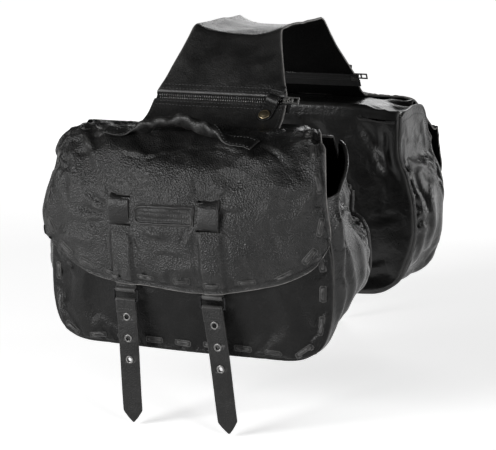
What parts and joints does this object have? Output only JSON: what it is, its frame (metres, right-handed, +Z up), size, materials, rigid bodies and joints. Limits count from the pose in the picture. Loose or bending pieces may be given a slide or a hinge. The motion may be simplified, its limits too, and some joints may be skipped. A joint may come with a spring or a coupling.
{
  "type": "saddle bag",
  "caption": "Leather throw-over saddlebags on a shared yoke, zipped to it, with laced flaps, carrying handles, snap tabs and hanging eyelet straps.",
  "frame": {"origin": "middle of the yoke's flat underside, where it rests on the carrier or seat", "axes": "+Z up, +X towards the front of the vehicle, Y across it: the right bag is on the -Y side"},
  "size_m": [0.3622, 0.5476, 0.4325],
  "materials": {
    "leather": "soft black grained leather, satin",
    "gusset_leather": "softer, glossier black leather",
    "strap_leather": "black strap leather with worn edges",
    "lace": "flat black leather lace",
    "zip_tape": "black woven tape",
    "zip_metal": "gunmetal",
    "nickel": "worn nickel",
    "antique_brass": "antique brass",
    "black_metal": "black lacquer",
    "eyelet_metal": "dark oxidised metal"
  },
  "bodies": {
    "yoke": {"yoke": "leather", "right_snap_tab_anchor": "strap_leather", "left_snap_tab_anchor": "strap_leather"},
    "right_bag": {"right_zip_upper_tape": "zip_tape", "right_zip_upper_teeth": "zip_metal", "right_zip_lower_tape": "zip_tape", "right_zip_lower_teeth": "zip_metal", "right_tongue": "leather", "right_snap_post": "antique_brass", "right_back_panel": "leather", "right_gusset": "gusset_leather", "right_front_panel": "leather", "right_body_lacing": "lace", "right_closure_posts": "antique_brass"},
    "right_flap": {"right_flap": "leather", "right_handle": "strap_leather", "right_badge_strip": "strap_leather", "right_flap_lacing": "lace", "right_closure_sockets": "antique_brass", "right_front_flap_strap": "strap_leather", "right_rear_flap_strap": "strap_leather", "right_front_ring": "black_metal", "right_rear_ring": "black_metal"},
    "right_front_tail": {"right_front_tail": "strap_leather", "right_front_tail_eyelets": "eyelet_metal"},
    "right_rear_tail": {"right_rear_tail": "strap_leather", "right_rear_tail_eyelets": "eyelet_metal"},
    "right_slider": {"right_zip_slider": "zip_metal"},
    "right_puller": {"right_zip_puller": "nickel"},
    "right_snap_tab": {"right_snap_tab": "strap_leather", "right_snap_cap": "antique_brass"},
    "left_bag": {"left_zip_upper_tape": "zip_tape", "left_zip_upper_teeth": "zip_metal", "left_zip_lower_tape": "zip_tape", "left_zip_lower_teeth": "zip_metal", "left_tongue": "leather", "left_snap_post": "antique_brass", "left_back_panel": "leather", "left_gusset": "gusset_leather", "left_front_panel": "leather", "left_body_lacing": "lace", "left_closure_posts": "antique_brass"},
    "left_flap": {"left_flap": "leather", "left_handle": "strap_leather", "left_badge_strip": "strap_leather", "left_flap_lacing": "lace", "left_closure_sockets": "antique_brass", "left_front_flap_strap": "strap_leather", "left_rear_flap_strap": "strap_leather", "left_front_ring": "black_metal", "left_rear_ring": "black_metal"},
    "left_front_tail": {"left_front_tail": "strap_leather", "left_front_tail_eyelets": "eyelet_metal"},
    "left_rear_tail": {"left_rear_tail": "strap_leather", "left_rear_tail_eyelets": "eyelet_metal"},
    "left_slider": {"left_zip_slider": "zip_metal"},
    "left_puller": {"left_zip_puller": "nickel"},
    "left_snap_tab": {"left_snap_tab": "strap_leather", "left_snap_cap": "antique_brass"}
  },
  "joints": [
    {"name": "right_bag_swing", "type": "hinge", "parent": "yoke", "child": "right_bag", "pos_m": [0, -0.12912, -0.07157], "axis": [-1, 0, 0], "range_deg": [0, 35]},
    {"name": "right_flap_open", "type": "hinge", "parent": "right_bag", "child": "right_flap", "pos_m": [-0.008, -0.1745, -0.103], "axis": [-1, 0, 0], "range_deg": [0, 100]},
    {"name": "right_front_tail_swing", "type": "hinge", "parent": "right_flap", "child": "right_front_tail", "pos_m": [0.044, -0.2642, -0.289], "axis": [-1, 0, 0], "range_deg": [-10, 95]},
    {"name": "right_rear_tail_swing", "type": "hinge", "parent": "right_flap", "child": "right_rear_tail", "pos_m": [-0.06, -0.2642, -0.289], "axis": [-1, 0, 0], "range_deg": [-10, 95]},
    {"name": "right_zip_slide", "type": "slide", "parent": "right_bag", "child": "right_slider", "axis": [-1, 0, 0], "range_m": [0, 0.14]},
    {"name": "right_puller_flip", "type": "hinge", "parent": "right_slider", "child": "right_puller", "pos_m": [0.0801, -0.13204, -0.07514], "axis": [0, -0.5807, -0.8141], "range_deg": [0, 110]},
    {"name": "right_snap_tab_open", "type": "hinge", "parent": "right_bag", "child": "right_snap_tab", "pos_m": [0.066, -0.13106, -0.07025], "axis": [-1, 0, 0], "range_deg": [0, 95]},
    {"name": "left_bag_swing", "type": "hinge", "parent": "yoke", "child": "left_bag", "pos_m": [0, 0.12912, -0.07157], "axis": [1, 0, 0], "range_deg": [0, 35]},
    {"name": "left_flap_open", "type": "hinge", "parent": "left_bag", "child": "left_flap", "pos_m": [-0.008, 0.1745, -0.103], "axis": [1, 0, 0], "range_deg": [0, 100]},
    {"name": "left_front_tail_swing", "type": "hinge", "parent": "left_flap", "child": "left_front_tail", "pos_m": [0.044, 0.2642, -0.289], "axis": [1, 0, 0], "range_deg": [-10, 95]},
    {"name": "left_rear_tail_swing", "type": "hinge", "parent": "left_flap", "child": "left_rear_tail", "pos_m": [-0.06, 0.2642, -0.289], "axis": [1, 0, 0], "range_deg": [-10, 95]},
    {"name": "left_zip_slide", "type": "slide", "parent": "left_bag", "child": "left_slider", "axis": [-1, 0, 0], "range_m": [0, 0.14]},
    {"name": "left_puller_flip", "type": "hinge", "parent": "left_slider", "child": "left_puller", "pos_m": [0.0801, 0.13204, -0.07514], "axis": [0, -0.5807, 0.8141], "range_deg": [0, 110]},
    {"name": "left_snap_tab_open", "type": "hinge", "parent": "left_bag", "child": "left_snap_tab", "pos_m": [0.066, 0.13106, -0.07025], "axis": [1, 0, 0], "range_deg": [0, 95]}
  ]
}
